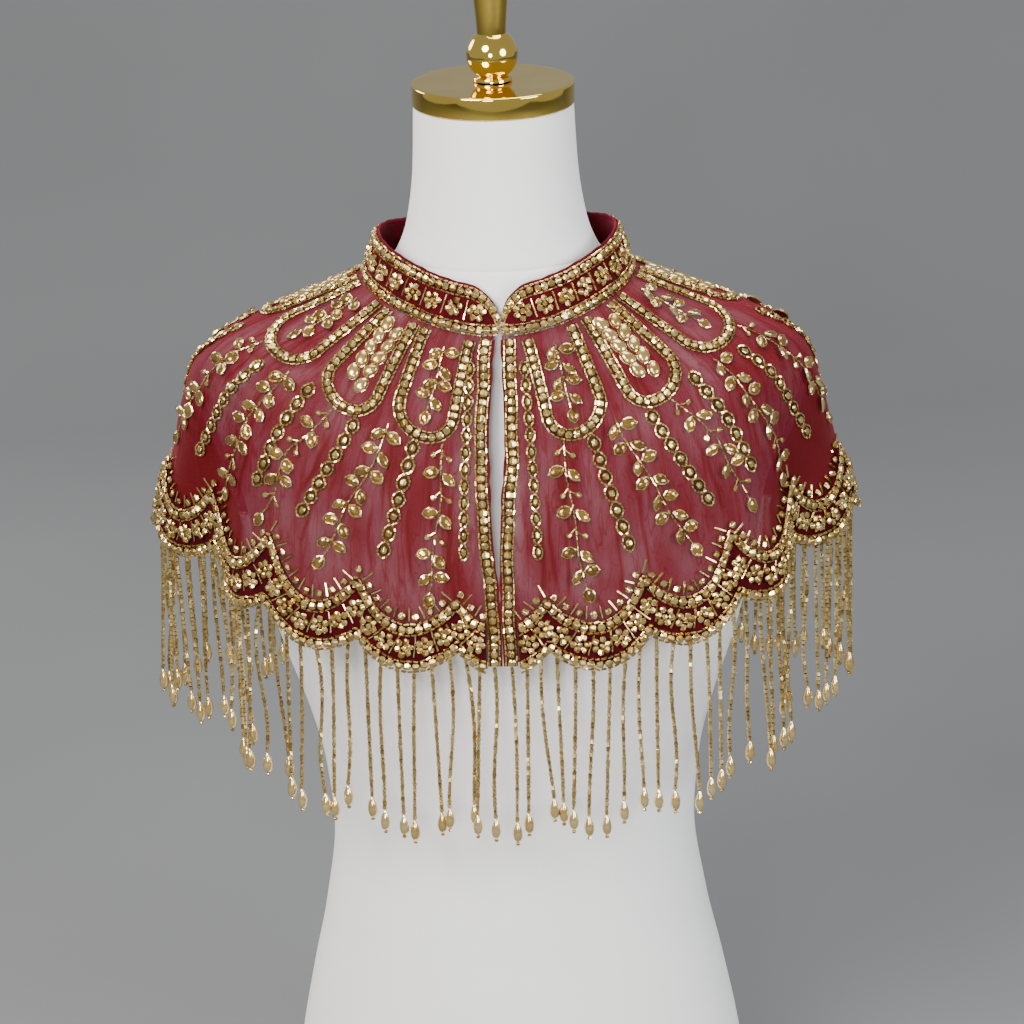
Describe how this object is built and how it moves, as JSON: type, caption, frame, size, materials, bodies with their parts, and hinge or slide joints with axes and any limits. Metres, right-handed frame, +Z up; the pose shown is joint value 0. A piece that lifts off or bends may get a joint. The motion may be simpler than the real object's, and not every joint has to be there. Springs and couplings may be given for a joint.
{
  "type": "beaded net capelet with fringe on a limbless dress form",
  "caption": "Flared net capelet with bead braids, scalloped border, standing collar and hanging bead fringe, worn on a limbless dress form with a metal neck cap and finial.",
  "frame": {"origin": "centre of the dress form's flat base, on the axis of its neck", "axes": "+Z up along the neck's axis, the garment's front faces -Y, +X is on the right in the front view"},
  "size_m": [0.4774, 0.2805, 0.848],
  "materials": {
    "jersey": "matte white stretch cover over a padded form",
    "gold_metal": "polished gold-coloured metal",
    "net": "fine crimson silk net, uncut",
    "velvet": "very dark red velvet under bead rows",
    "beads": "gold glass and metal beads sewn in rows"
  },
  "bodies": {
    "root": {"form_body": "jersey", "form_neck_cap": "gold_metal", "form_finial": "gold_metal", "net_front_right": "net", "net_front_left": "net", "net_back": "net", "border_front_right": "velvet", "border_front_left": "velvet", "border_back": "velvet", "fringe_front_right": "beads", "fringe_front_left": "beads", "fringe_back": "beads", "collar": "velvet", "front_band_right": "beads", "front_band_left": "beads", "petal_right_1": "beads", "petal_right_2": "beads", "petal_right_3": "beads", "petal_right_4": "beads", "petal_right_5": "beads", "petal_right_6": "beads", "petal_right_7": "beads", "petal_centre_back": "beads", "petal_left_1": "beads", "petal_left_2": "beads", "petal_left_3": "beads", "petal_left_4": "beads", "petal_left_5": "beads", "petal_left_6": "beads", "petal_left_7": "beads", "chain_right_1": "beads", "chain_right_2": "beads", "chain_right_3": "beads", "chain_right_4": "beads", "chain_right_5": "beads", "chain_right_6": "beads", "chain_right_7": "beads", "chain_right_8": "beads", "chain_right_9": "beads", "chain_left_1": "beads", "chain_left_2": "beads", "chain_left_3": "beads", "chain_left_4": "beads", "chain_left_5": "beads", "chain_left_6": "beads", "chain_left_7": "beads", "chain_left_8": "beads", "chain_left_9": "beads"}
  },
  "joints": []
}
